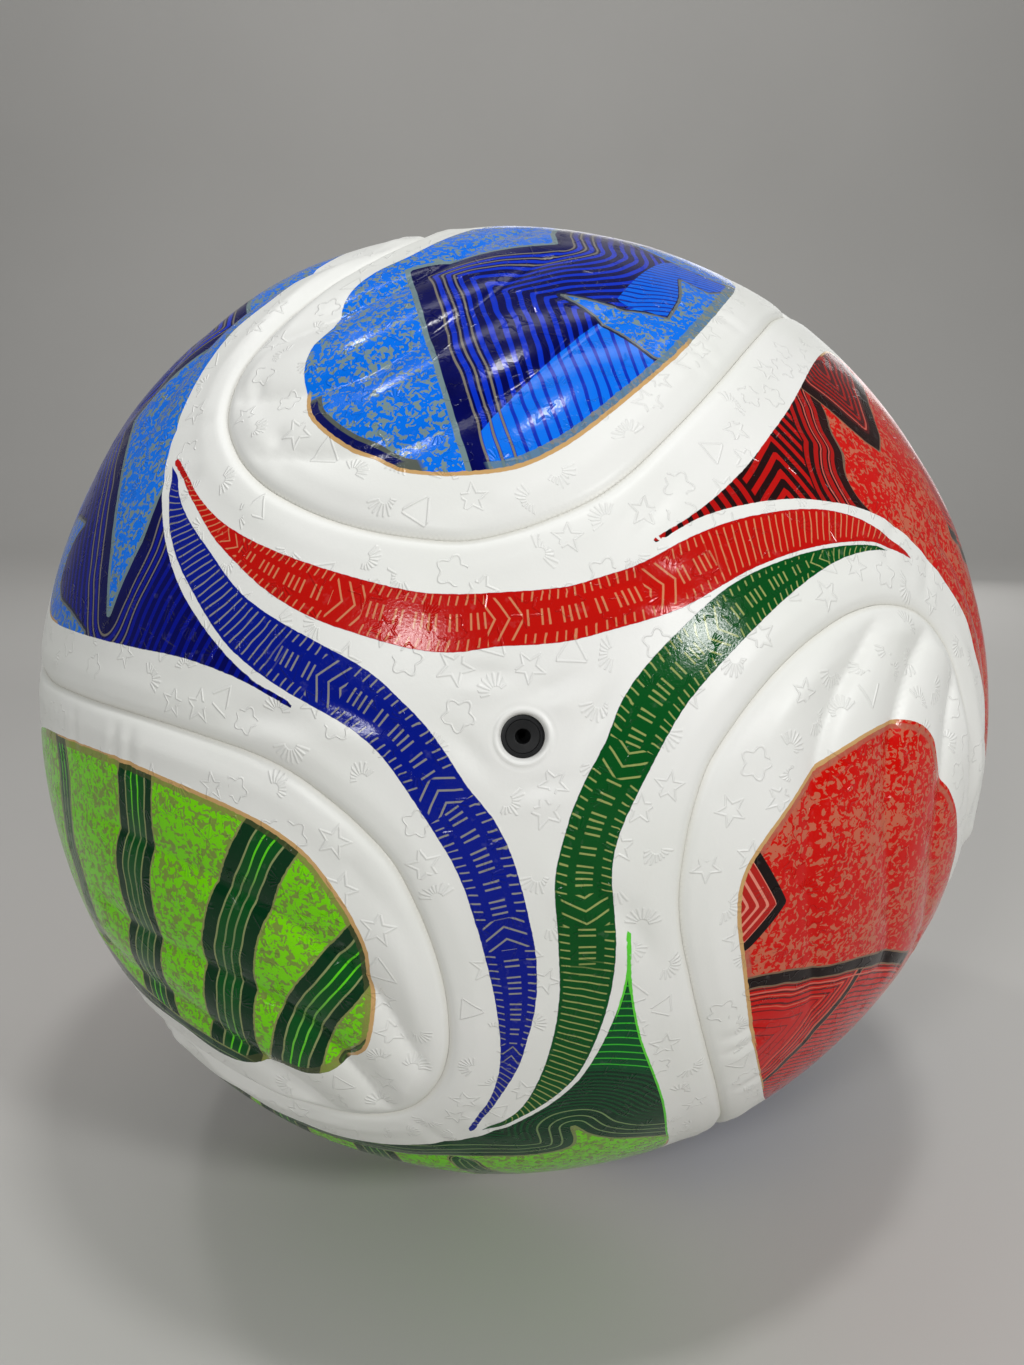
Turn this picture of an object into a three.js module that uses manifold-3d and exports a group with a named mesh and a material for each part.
// Full-size soccer ball with four large three-armed panels.
// Outer printed skins on foam backings, bonded to a carcass of twelve woven pentagon patches over a
// butyl bladder, with adhesive beads along the panel seams and a two-piece rubber valve.
// Millimetres, +Z up, origin at the centre of the ball. The valve faces -Y, tilted a little upwards.
// Every solid is built in the layout's own frame, where +Z is the axis of the front panel.
import * as THREE from "three";
import { mergeVertices } from "three/addons/utils/BufferGeometryUtils.js";
import Module from "manifold-3d";

const wasm = await Module();
wasm.setup();
const { Manifold, Mesh } = wasm;

// ---- layers, from the surface inwards (mm) ----
const layer = (outer, thickness) => ({ outer, inner: outer - thickness });
const BALL_R = 110; // size 5 ball, 220 mm across
const LAYER_GAP = 0.3;
const SKIN = layer(BALL_R, 1.2);
const FOAM = layer(SKIN.inner - LAYER_GAP, 3.2);
const CARCASS = layer(FOAM.inner - LAYER_GAP, 1);
const BLADDER = layer(CARCASS.inner - LAYER_GAP, 1.2);
const PATCH = layer(BLADDER.inner - LAYER_GAP, 1);
const PATCH_RADIUS = 16; // valve patch and balance patch, across the axis
const OUTER_DETAIL = 5; // geodesic frequency 6 for the visible surface
const INNER_DETAIL = 3; // geodesic frequency 4 for every hidden surface

// ---- seams and gaps (mm) ----
const GROOVE_HALF_TOP = 1.5; // half the seam groove at the ball's surface
const GROOVE_HALF_FOOT = 1.15; // and at the foot of the skin
const GROOVE_CUT_BELOW = 2.8; // how far the groove cutter reaches inside the skin
const GROOVE_CUT_ABOVE = 2; // and outside the ball
const GROOVE_OVERRUN = 1; // cutters run past the three-panel corners, so that they meet
const FOAM_GAP_HALF = 0.9; // half the gap between two foam backings
const FOAM_CUT = { from: 100, to: 112 };
const FOAM_OVERRUN = 0.9;
const BEAD_HALF = 0.55; // half the width of an adhesive bead
const BEAD_IN_R = 105.9;
const BEAD_OUT_R = 107.4;
const BEAD_END_GAP = 2; // each bead stops short of the three-panel corner
const CARCASS_GAP_HALF = 0.3; // half the gap between two carcass patches
const CARCASS_CUT = { from: 96, to: 122 };
const CARCASS_OVERRUN = 0.004; // on the unit sphere
const SMALLEST_BODY = 5; // mm3; slivers below this are left out after a cut

// ---- how the layout sits in the ball's frame (degrees) ----
// Turn about Z, tilt about X, then roll about its own axis.
const LAYOUT_TURN = 0.959;
const LAYOUT_TILT = 78.343;
const LAYOUT_ROLL = 114.768;
// The valve sits a little off the middle of the front panel.
const VALVE_TILT = 0.896;
const VALVE_AZIMUTH = 151.866;

// ---- valve (mm; tops, feet and seats are distances from the ball's centre) ----
const TUBE_R = 3.4; // housing tube, outside
const SKIN_HOLE_R = TUBE_R + 0.35;
const INNER_HOLE_R = TUBE_R + 0.5;
const HOUSING_TOP = 109.3;
const HOUSING_FOOT = 90;
const HOUSING_BORE_R = 2.2;
const HOUSING_CHAMFER = 0.2;
const HEAD_SEAT_R = 2.9;
const HEAD_SEAT = 107.8;
const FLANGE_R = 9;
const FLANGE_TOP = 98.8;
const FLANGE_FOOT = 97.4;
const FLANGE_RIM_RISE = 0.3; // the underside rises this much from tube to rim
const CORE_TOP = 109.2;
const CORE_HEAD_FOOT = 108.1;
const CORE_HEAD_R = 2.6;
const CORE_STEM_R = 1.9;
const CORE_FOOT = 93;
const CORE_TAPER_INSET = 0.5; // the stem narrows by this at its foot
const CORE_TAPER_LENGTH = 1.2;
const NEEDLE_R = 0.45;
const NEEDLE_ENTRY_R = 1.2;
const NEEDLE_ENTRY_DEPTH = 1.3;
const HOUSING_SIDES = 28;
const ROUND_SIDES = 24; // valve core, holes and round patches

// Round cutters lie along an axis through the ball's centre.
const CUTTER_TOP = 115;
const HOLE_CUTTER_FOOT = 85;
const PATCH_CUTTER_FOOT = 80;

// ---- seam outline ----
// Half of one seam, as azimuth and polar angle about a panel's axis: from the corner where three
// panels meet, along one side of the neighbour's arm, round its tip, to the seam's middle point.
const EDGE_POLAR = (Math.acos(1 / Math.sqrt(3)) * 180) / Math.PI; // 54.74
const CORNER_POLAR = (Math.acos(1 / 3) * 180) / Math.PI; // 70.53
const HALF_SEAM = [
  [-60, CORNER_POLAR], [-59.2, 64], [-58.3, 58], [-57.7, 52], [-56.9, 46], [-55.9, 40],
  [-54.3, 34], [-51.8, 28.5], [-48.2, 23.8], [-43, 20.5], [-34.5, 18], [-23, 16.4],
  [-8, 16.2], [3.5, 17.9], [12.5, 20.8], [18, 24.2], [21.3, 28.3], [22.8, 33],
  [22.2, 38], [19.3, 43.6], [14.2, 48.1], [8, 51.2], [0, EDGE_POLAR],
];
const FINE_STEPS = 400; // even steps along the whole curve, before thinning out
const SEAM_TOLERANCE = 0.9; // how far the straight steps may leave the true curve (mm)
const LONGEST_STEP = 22; // mm

// ---- finishes ----
const SKIN_COLORS = { front: 0xe6e6e2, top: 0xe2e4e6, left: 0xe4e6e0, right: 0xe8e4e2 };
const SKIN_ROUGHNESS = 0.45;
const FINISH = {
  foam: { color: 0xd8d2c2, roughness: 0.9 },
  bead: { color: 0xcfcfca, roughness: 0.6 },
  carcass: { color: 0xb9b3a4, roughness: 0.95 },
  bladder: { color: 0x1c1c1e, roughness: 0.7 },
  patch: { color: 0x28282a, roughness: 0.8 },
  housing: { color: 0x111113, roughness: 0.55 },
  core: { color: 0x19191b, roughness: 0.6 },
};

// ---- directions ----
const rad = (degrees) => (degrees * Math.PI) / 180;

const polar = (azimuth, angle) =>
  new THREE.Vector3(
    Math.sin(rad(angle)) * Math.cos(rad(azimuth)),
    Math.sin(rad(angle)) * Math.sin(rad(azimuth)),
    Math.cos(rad(angle)),
  );

// ---- solids from triangles ----
function manifoldOf(geometry) {
  return new Manifold(
    new Mesh({
      numProp: 3,
      vertProperties: new Float32Array(geometry.attributes.position.array),
      triVerts: new Uint32Array(geometry.index.array),
    }),
  );
}

// An indexed icosphere with shared corners and positions only.
function icosphere(radius, detail) {
  const geometry = new THREE.IcosahedronGeometry(radius, detail);
  geometry.deleteAttribute("normal");
  geometry.deleteAttribute("uv");
  return mergeVertices(geometry, 1e-4);
}

// A solid from a closed triangle list, turned inside out if the triangles face inwards.
function solid(points, triangles) {
  let volume = 0;
  for (let i = 0; i < triangles.length; i += 3) {
    const [a, b, c] = triangles.slice(i, i + 3).map((index) => points[index]);
    volume += a.dot(b.clone().cross(c));
  }
  const facing = triangles.slice();
  if (volume < 0)
    for (let i = 0; i < facing.length; i += 3)
      [facing[i + 1], facing[i + 2]] = [facing[i + 2], facing[i + 1]];
  return manifoldOf(new THREE.BufferGeometry().setFromPoints(points).setIndex(facing));
}

// Hidden surfaces share one facet pattern at every radius, so that nested layers stay parallel.
function shell({ outer, inner }, outerDetail = INNER_DETAIL) {
  const core = manifoldOf(icosphere(inner, INNER_DETAIL));
  return manifoldOf(icosphere(outer, outerDetail)).subtract(core);
}

// A closed ring profile [radius, height] turned about +Z, then stood on the given axis.
function revolve(profile, sides, axis) {
  const stand = new THREE.Quaternion().setFromUnitVectors(new THREE.Vector3(0, 0, 1), axis);
  const points = [];
  const rings = profile.map(([radius, z]) => {
    const start = points.length;
    const onAxis = radius === 0;
    for (let k = 0; k < (onAxis ? 1 : sides); k++) {
      const angle = (2 * Math.PI * k) / sides;
      const point = new THREE.Vector3(radius * Math.cos(angle), radius * Math.sin(angle), z);
      points.push(point.applyQuaternion(stand));
    }
    return { start, onAxis };
  });
  const triangles = [];
  rings.forEach((a, i) => {
    const b = rings[(i + 1) % rings.length];
    if (a.onAxis && b.onAxis) return;
    for (let k = 0; k < sides; k++) {
      const n = (k + 1) % sides;
      if (a.onAxis) triangles.push(a.start, b.start + k, b.start + n);
      else if (b.onAxis) triangles.push(a.start + k, b.start, a.start + n);
      else {
        triangles.push(a.start + k, b.start + k, b.start + n);
        triangles.push(a.start + k, b.start + n, a.start + n);
      }
    }
  });
  return solid(points, triangles);
}

// A round bar along the axis, from its foot to CUTTER_TOP.
function roundCutter(radius, foot, axis) {
  const profile = [
    [0, foot],
    [radius, foot],
    [radius, CUTTER_TOP],
    [0, CUTTER_TOP],
  ];
  return revolve(profile, ROUND_SIDES, axis);
}

// A wall that follows a path of directions. levels: [radius, half width], from the centre outwards.
function ribbon(path, levels) {
  const points = [];
  path.forEach((direction, i) => {
    const before = path[Math.max(i - 1, 0)];
    const after = path[Math.min(i + 1, path.length - 1)];
    const along = after.clone().sub(before).normalize();
    const side = new THREE.Vector3().crossVectors(direction, along).normalize();
    const addPoint = (radius, offset) =>
      points.push(direction.clone().multiplyScalar(radius).addScaledVector(side, offset));
    for (const [radius, halfWidth] of levels) addPoint(radius, halfWidth);
    for (const [radius, halfWidth] of levels.slice().reverse()) addPoint(radius, -halfWidth);
  });
  const count = levels.length * 2;
  const triangles = [];
  for (let i = 0; i + 1 < path.length; i++)
    for (let k = 0; k < count; k++) {
      const here = i * count;
      const next = here + count;
      const n = (k + 1) % count;
      triangles.push(here + k, here + n, next + n);
      triangles.push(here + k, next + n, next + k);
    }
  const last = (path.length - 1) * count;
  for (let k = 1; k + 1 < count; k++) {
    triangles.push(0, k + 1, k);
    triangles.push(last, last + k, last + k + 1);
  }
  return solid(points, triangles);
}

const union = (bodies) => bodies.reduce((a, b) => a.add(b));

// ---- panel layout: the twelve turns of a tetrahedron ----
const seamMiddle = polar(0, EDGE_POLAR);
const turnZ = (degrees) => new THREE.Matrix4().makeRotationZ(rad(degrees));
const halfTurn = new THREE.Matrix4().makeRotationAxis(seamMiddle, Math.PI);
const turns = [0, 120, 240].flatMap((step) => [
  turnZ(step),
  ...[0, 120, 240].map((flip) => turnZ(step).multiply(halfTurn).multiply(turnZ(flip))),
]);

const panelAxes = {
  front: polar(0, 0),
  top: polar(0, 0).applyMatrix4(halfTurn),
  left: polar(0, 0).applyMatrix4(halfTurn).applyMatrix4(turnZ(120)),
  right: polar(0, 0).applyMatrix4(halfTurn).applyMatrix4(turnZ(-120)),
};
const valveAxis = polar(VALVE_AZIMUTH, VALVE_TILT);

// ---- seams ----
const turned = (path, matrix) => path.map((point) => point.clone().applyMatrix4(matrix));
// The second half of a seam is the first one given a half turn about the seam's middle.
const secondHalf = (firstHalf) => turned(firstHalf.slice().reverse(), halfTurn);

// Fewest straight steps that keep to the tolerance, between two indices of a fine path.
function fewestSteps(fine, first, last) {
  const start = fine[first];
  const chord = fine[last].clone().sub(start);
  let worst = 0;
  let splitAt = -1;
  for (let i = first + 1; i < last; i++) {
    const share = fine[i].clone().sub(start).dot(chord) / chord.lengthSq();
    const onChord = start.clone().addScaledVector(chord, share).normalize();
    const distance = fine[i].distanceTo(onChord) * BALL_R;
    if (distance > worst) [worst, splitAt] = [distance, i];
  }
  if (worst <= SEAM_TOLERANCE) {
    if (chord.length() * BALL_R <= LONGEST_STEP) return [first];
    splitAt = Math.round((first + last) / 2);
  }
  return [...fewestSteps(fine, first, splitAt), ...fewestSteps(fine, splitAt, last)];
}

function makeSeamPath() {
  const half = HALF_SEAM.map(([azimuth, angle]) => polar(azimuth, angle));
  const controls = [...half, ...secondHalf(half.slice(0, -1))];
  const curve = new THREE.CatmullRomCurve3(controls, false, "centripetal");
  const fine = curve.getSpacedPoints(FINE_STEPS).map((point) => point.normalize());
  const firstHalf = fewestSteps(fine, 0, FINE_STEPS / 2).map((i) => fine[i]);
  return [...firstHalf, seamMiddle, ...secondHalf(firstHalf)];
}

// The seam's six copies, one for each pair of panels.
const seamPath = makeSeamPath();
const seams = [];
for (const turn of turns) {
  const middle = seamMiddle.clone().applyMatrix4(turn);
  if (!seams.some((seam) => seam.middle.distanceTo(middle) < 0.01))
    seams.push({ middle, path: turned(seamPath, turn) });
}

// A path made longer (mm > 0) or shorter (mm < 0) at both ends, at the ball's surface.
function stretched(path, mm) {
  const result = path.map((point) => point.clone());
  const last = path.length - 1;
  for (const [end, next] of [[0, 1], [last, last - 1]]) {
    const away = path[end].clone().sub(path[next]).normalize();
    result[end].addScaledVector(away, mm / BALL_R).normalize();
  }
  return result;
}

const seamWalls = (overrun, levels) =>
  union(seams.map(({ path }) => ribbon(stretched(path, overrun), levels)));

// A cutter of even thickness, as ribbon levels.
const evenWall = ({ from, to }, halfWidth) => [
  [from, halfWidth],
  [to, halfWidth],
];

// The groove's sides flare evenly from the foot of the skin to the surface.
function grooveLevel(radius) {
  const slope = (GROOVE_HALF_TOP - GROOVE_HALF_FOOT) / (SKIN.outer - SKIN.inner);
  return [radius, GROOVE_HALF_FOOT + (radius - SKIN.inner) * slope];
}

// ---- cutting a shell into named pieces ----
function meanDirection(body) {
  const { numVert, numProp, vertProperties } = body.getMesh();
  const sum = new THREE.Vector3();
  for (let i = 0; i < numVert; i++)
    sum.add(new THREE.Vector3().fromArray(vertProperties, i * numProp));
  return sum.normalize();
}

// Each body takes the name of the axis nearest to it.
function splitByAxis(whole, cutter, axes) {
  const found = {};
  for (const body of whole.subtract(cutter).decompose()) {
    if (body.volume() < SMALLEST_BODY) continue;
    const direction = meanDirection(body);
    const nearest = Object.keys(axes).reduce((best, name) =>
      direction.dot(axes[name]) > direction.dot(axes[best]) ? name : best,
    );
    found[nearest] = found[nearest] ? found[nearest].add(body) : body;
  }
  return found;
}

const withValveHole = (body, radius = INNER_HOLE_R) =>
  body.subtract(roundCutter(radius, HOLE_CUTTER_FOOT, valveAxis));

// ---- the pieces ----
function makeSkins() {
  const grooves = seamWalls(GROOVE_OVERRUN, [
    grooveLevel(SKIN.inner - GROOVE_CUT_BELOW),
    grooveLevel(SKIN.outer + GROOVE_CUT_ABOVE),
  ]);
  const skins = splitByAxis(shell(SKIN, OUTER_DETAIL), grooves, panelAxes);
  skins.front = withValveHole(skins.front, SKIN_HOLE_R);
  return skins;
}

function makeFoams() {
  const gaps = seamWalls(FOAM_OVERRUN, evenWall(FOAM_CUT, FOAM_GAP_HALF));
  const foams = splitByAxis(shell(FOAM), gaps, panelAxes);
  foams.front = withValveHole(foams.front);
  return foams;
}

function makeBead(seam) {
  const span = { from: BEAD_IN_R, to: BEAD_OUT_R };
  return ribbon(stretched(seam.path, -BEAD_END_GAP), evenWall(span, BEAD_HALF));
}

// Carcass: the twelve faces of a dodecahedron with one face centred on the valve. They are found
// from its dual icosahedron, whose corners are the middles of the patches.
// Patches are numbered from the valve to the far side.
function makeCarcass() {
  const { attributes, index } = icosphere(1, 0);
  const centres = [];
  for (let i = 0; i < attributes.position.count; i++)
    centres.push(new THREE.Vector3().fromBufferAttribute(attributes.position, i).normalize());
  const toValve = new THREE.Quaternion().setFromUnitVectors(centres[0], valveAxis);
  for (const centre of centres) centre.applyQuaternion(toValve);

  // Each icosahedron face is a corner where three patches meet.
  const faces = [];
  for (let i = 0; i < index.count; i += 3) faces.push([...index.array.slice(i, i + 3)]);
  const cornerOf = ([a, b, c]) =>
    centres[a].clone().add(centres[b]).add(centres[c]).normalize();

  const walls = [];
  faces.forEach((face, i) => {
    for (const other of faces.slice(i + 1)) {
      if (face.filter((corner) => other.includes(corner)).length !== 2) continue;
      const start = cornerOf(face);
      const end = cornerOf(other);
      const overrun = start.clone().sub(end).normalize().multiplyScalar(CARCASS_OVERRUN);
      const path = [start.add(overrun), end.sub(overrun)];
      walls.push(ribbon(path, evenWall(CARCASS_CUT, CARCASS_GAP_HALF)));
    }
  });

  const axes = {};
  centres
    .slice()
    .sort((a, b) => b.dot(valveAxis) - a.dot(valveAxis))
    .forEach((centre, k) => {
      axes["carcass_patch_" + String(k + 1).padStart(2, "0")] = centre;
    });
  const patches = splitByAxis(shell(CARCASS), union(walls), axes);
  patches.carcass_patch_01 = withValveHole(patches.carcass_patch_01);
  return Object.keys(axes).map((name) => [name, patches[name]]);
}

// A round patch inside the bladder.
const makeRoundPatch = (axis) =>
  shell(PATCH).intersect(roundCutter(PATCH_RADIUS, PATCH_CUTTER_FOOT, axis));

function makeValveHousing() {
  const profile = [
    [HOUSING_BORE_R, HOUSING_FOOT],
    [TUBE_R, HOUSING_FOOT],
    [TUBE_R, FLANGE_FOOT],
    [FLANGE_R, FLANGE_FOOT + FLANGE_RIM_RISE],
    [FLANGE_R, FLANGE_TOP],
    [TUBE_R, FLANGE_TOP],
    [TUBE_R, HOUSING_TOP - HOUSING_CHAMFER],
    [TUBE_R - HOUSING_CHAMFER, HOUSING_TOP],
    [HEAD_SEAT_R, HOUSING_TOP],
    [HEAD_SEAT_R, HEAD_SEAT],
    [HOUSING_BORE_R, HEAD_SEAT],
  ];
  return revolve(profile, HOUSING_SIDES, valveAxis);
}

function makeValveCore() {
  const profile = [
    [NEEDLE_R, CORE_FOOT],
    [CORE_STEM_R - CORE_TAPER_INSET, CORE_FOOT],
    [CORE_STEM_R, CORE_FOOT + CORE_TAPER_LENGTH],
    [CORE_STEM_R, CORE_HEAD_FOOT],
    [CORE_HEAD_R, CORE_HEAD_FOOT],
    [CORE_HEAD_R, CORE_TOP],
    [NEEDLE_ENTRY_R, CORE_TOP],
    [NEEDLE_R, CORE_TOP - NEEDLE_ENTRY_DEPTH],
  ];
  return revolve(profile, ROUND_SIDES, valveAxis);
}

// ---- scene graph ----
const frame = new THREE.Group();
const root = new THREE.Group();
root.name = "soccer_ball";
root.rotation.z = rad(LAYOUT_TURN);
const tilt = new THREE.Group();
tilt.rotation.x = rad(LAYOUT_TILT);
const layout = new THREE.Group();
layout.rotation.z = rad(LAYOUT_ROLL);
frame.add(root);
root.add(tilt);
tilt.add(layout);

function addPiece(name, body, finish) {
  const { vertProperties, triVerts } = body.getMesh();
  const geometry = new THREE.BufferGeometry();
  const positions = new Float32Array(vertProperties);
  geometry.setAttribute("position", new THREE.BufferAttribute(positions, 3));
  geometry.setIndex(new THREE.BufferAttribute(new Uint32Array(triVerts), 1));
  geometry.computeVertexNormals();
  const material = new THREE.MeshStandardMaterial({ ...finish, flatShading: true });
  const mesh = new THREE.Mesh(geometry, material);
  mesh.name = name;
  layout.add(mesh);
}

const panelNames = Object.keys(panelAxes);
const skins = makeSkins();
const foams = makeFoams();
for (const name of panelNames) {
  const skinFinish = { color: SKIN_COLORS[name], roughness: SKIN_ROUGHNESS };
  addPiece("skin_" + name, skins[name], skinFinish);
  addPiece("foam_" + name, foams[name], FINISH.foam);
}
// A bead is named after the two panels on the same side of the ball as its middle.
for (const seam of seams) {
  const pair = panelNames.filter((name) => panelAxes[name].dot(seam.middle) > 0);
  addPiece("seam_bead_" + pair.join("_"), makeBead(seam), FINISH.bead);
}
for (const [name, body] of makeCarcass()) addPiece(name, body, FINISH.carcass);
addPiece("bladder", withValveHole(shell(BLADDER)), FINISH.bladder);
addPiece("valve_patch", withValveHole(makeRoundPatch(valveAxis)), FINISH.patch);
addPiece("balance_patch", makeRoundPatch(valveAxis.clone().negate()), FINISH.patch);
addPiece("valve_housing", makeValveHousing(), FINISH.housing);
addPiece("valve_core", makeValveCore(), FINISH.core);

export default frame;
